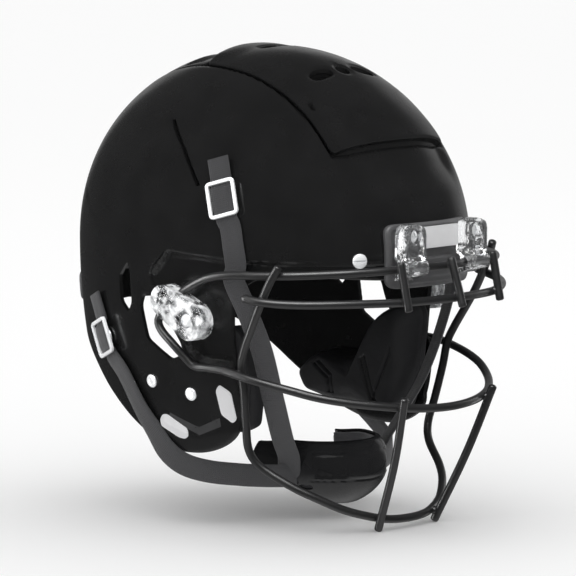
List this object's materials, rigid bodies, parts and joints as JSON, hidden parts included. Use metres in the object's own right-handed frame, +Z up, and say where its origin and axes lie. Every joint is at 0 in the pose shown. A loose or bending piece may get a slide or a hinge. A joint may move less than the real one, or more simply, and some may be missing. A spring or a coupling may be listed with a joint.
{
  "type": "american football helmet",
  "caption": "Hard-shell sports helmet with crown plates, wire face mask held by clear clips, internal pads and a buckled chin strap with a hard cup.",
  "frame": {"origin": "middle of the bounding box, at its bottom", "axes": "+Z up as worn, the face looks along -Y, the wearer's right side is at -X"},
  "size_m": [0.2702, 0.3348, 0.3298],
  "materials": {
    "shell": "moulded gloss black",
    "plate": "moulded gloss black",
    "wire": "black dip-coated steel wire",
    "rubber": "satin rubber",
    "label": "silver film, blank",
    "chrome": "polished",
    "clear": "clear polycarbonate",
    "pad": "padded vinyl skin over foam",
    "foam": "soft foam",
    "webbing": "woven grey webbing",
    "cup": "moulded gloss black"
  },
  "bodies": {
    "shell": {"shell": "shell", "front_crown_plate": "plate", "rear_crown_plate": "plate", "front_bumper": "rubber", "rear_bumper": "rubber", "nameplate": "label", "front_clip_R": "clear", "front_clip_L": "clear", "front_clip_screw_R": "chrome", "front_clip_screw_L": "chrome", "brow_screw_R": "chrome", "brow_screw_L": "chrome", "jaw_snap_front_R": "chrome", "jaw_snap_front_L": "chrome", "jaw_snap_rear_R": "chrome", "jaw_snap_rear_L": "chrome", "jaw_label_R": "label", "jaw_label_L": "label", "side_label_R": "label", "side_label_L": "label", "side_pad_R": "pad", "side_pad_L": "pad", "upper_strap_R": "webbing", "upper_strap_L": "webbing", "lower_strap_R": "webbing", "lower_strap_L": "webbing", "snap_socket_upper_R": "chrome", "snap_socket_upper_L": "chrome", "snap_socket_lower_R": "chrome", "snap_socket_lower_L": "chrome", "crown_pad": "pad", "front_pad": "pad", "rear_pad": "pad", "chin_cup": "cup", "chin_cup_liner": "foam"},
    "face_mask": {"face_mask": "wire", "side_clip_R": "clear", "side_clip_L": "clear", "side_clip_screw_R": "chrome", "side_clip_screw_L": "chrome"},
    "jaw_pad_R": {"jaw_pad_R": "pad"},
    "jaw_pad_L": {"jaw_pad_L": "pad"},
    "buckle_frame_upper_R": {"buckle_frame_upper_R": "chrome"},
    "buckle_frame_upper_L": {"buckle_frame_upper_L": "chrome"},
    "buckle_frame_lower_R": {"buckle_frame_lower_R": "chrome"},
    "buckle_frame_lower_L": {"buckle_frame_lower_L": "chrome"}
  },
  "joints": [
    {"name": "face_mask_swing", "type": "hinge", "parent": "shell", "child": "face_mask", "pos_m": [0, -0.1475, 0.1863], "axis": [-1, 0, 0], "range_deg": [0, 80]},
    {"name": "buckle_lift_upper_R", "type": "hinge", "parent": "shell", "child": "buckle_frame_upper_R", "pos_m": [-0.10968, -0.037, 0.24524], "axis": [-0.27, 0.959, -0.0859], "range_deg": [0, 30]},
    {"name": "buckle_lift_upper_L", "type": "hinge", "parent": "shell", "child": "buckle_frame_upper_L", "pos_m": [0.10968, -0.037, 0.24524], "axis": [-0.27, -0.959, 0.0859], "range_deg": [0, 30]},
    {"name": "buckle_lift_lower_R", "type": "hinge", "parent": "shell", "child": "buckle_frame_lower_R", "pos_m": [-0.11016, 0.07976, 0.13773], "axis": [0.3264, 0.8715, -0.366], "range_deg": [0, 30]},
    {"name": "buckle_lift_lower_L", "type": "hinge", "parent": "shell", "child": "buckle_frame_lower_L", "pos_m": [0.11016, 0.07976, 0.13773], "axis": [0.3264, -0.8715, 0.366], "range_deg": [0, 30]},
    {"name": "jaw_pad_unsnap_R", "type": "slide", "parent": "shell", "child": "jaw_pad_R", "axis": [1, 0, 0], "range_m": [0, 0.02]},
    {"name": "jaw_pad_unsnap_L", "type": "slide", "parent": "shell", "child": "jaw_pad_L", "axis": [-1, 0, 0], "range_m": [0, 0.02]}
  ]
}
